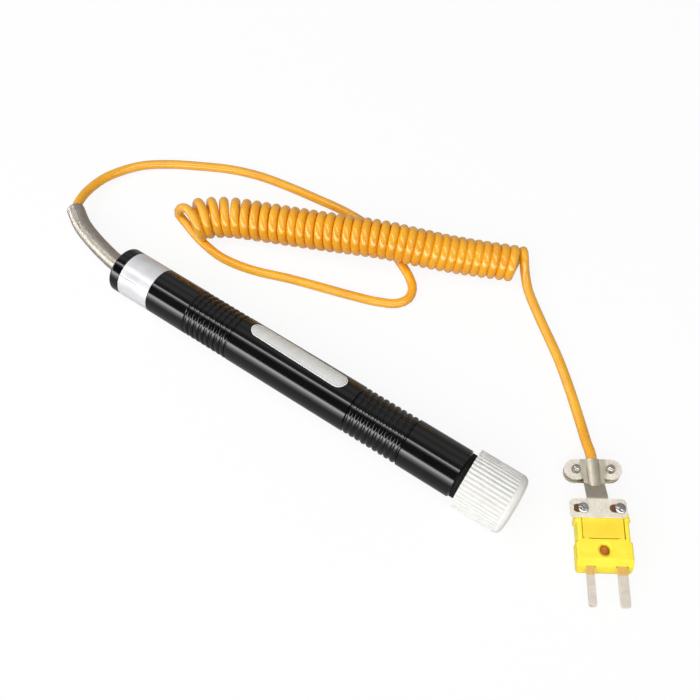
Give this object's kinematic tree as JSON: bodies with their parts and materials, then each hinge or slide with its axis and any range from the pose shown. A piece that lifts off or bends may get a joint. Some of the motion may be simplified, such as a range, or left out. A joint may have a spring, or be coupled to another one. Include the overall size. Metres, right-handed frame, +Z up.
{
  "type": "surface thermocouple probe",
  "caption": "Handheld surface thermocouple probe with a capped sensing head, a curly orange cord and a yellow miniature two-blade plug with a cord clamp.",
  "frame": {"origin": "under the middle of the handle and cap, on the table that the probe lies on", "axes": "+X along the handle towards the capped head, +Z up from the table, +Y to the side where the cord and plug lie"},
  "size_m": [0.2217, 0.0926, 0.0189],
  "materials": {
    "handle_black": "gloss",
    "rear_label_silver": "satin foil",
    "grip_label_silver": "satin foil",
    "bush_black": "matte",
    "spring_steel": "drawn wire",
    "crimp_brass": "plain",
    "wire_yellow": "insulated wire",
    "wire_red": "insulated wire",
    "splice_tin": "tinned",
    "neck_grey": "dark anodised",
    "ceramic_white": "unglazed ceramic",
    "post_metal": "drawn",
    "band_alloy": "rolled strip",
    "cap_frosted": "frosted",
    "cord_orange": "semi-gloss",
    "plug_yellow": "moulded",
    "shell_screw_steel": "plain",
    "blade_nickel": "rolled",
    "terminal_steel": "plain",
    "bracket_steel": "nickel plated",
    "screw_chrome": "bright plated",
    "clamp_screw_steel": "plain"
  },
  "bodies": {
    "probe": {"handle_grip": "handle_black", "rear_label": "rear_label_silver", "grip_label": "grip_label_silver", "rear_bush": "bush_black", "strain_relief": "spring_steel", "cord_ring": "crimp_brass", "cord_tail_positive": "wire_yellow", "cord_tail_negative": "wire_red", "splice_positive": "splice_tin", "splice_negative": "splice_tin", "lead_positive": "wire_yellow", "lead_negative": "wire_red", "sensor_neck": "neck_grey", "insulator": "ceramic_white", "post_positive": "post_metal", "post_negative": "post_metal", "sensing_band": "band_alloy", "cord_lead_rear": "cord_orange", "cord_coil": "cord_orange", "cord_lead_front": "cord_orange", "plug_lower_shell": "plug_yellow", "plug_upper_shell": "plug_yellow", "plug_panel": "plug_yellow", "blade_positive": "blade_nickel", "blade_negative": "blade_nickel", "shell_screw": "shell_screw_steel", "terminal_screw_positive": "terminal_steel", "terminal_screw_negative": "terminal_steel", "plug_tail_positive": "blade_nickel", "plug_tail_negative": "blade_nickel", "clamp_bracket": "bracket_steel", "clamp_plate": "bracket_steel", "clamp_screw_left": "clamp_screw_steel", "clamp_screw_right": "clamp_screw_steel", "bracket_screw_left": "screw_chrome", "bracket_screw_right": "screw_chrome"},
    "cap": {"protective_cap": "cap_frosted"}
  },
  "joints": [
    {"name": "cap_pull", "type": "slide", "parent": "probe", "child": "cap", "axis": [0.9999, 0, 0.013], "range_m": [0, 0.0125]}
  ]
}
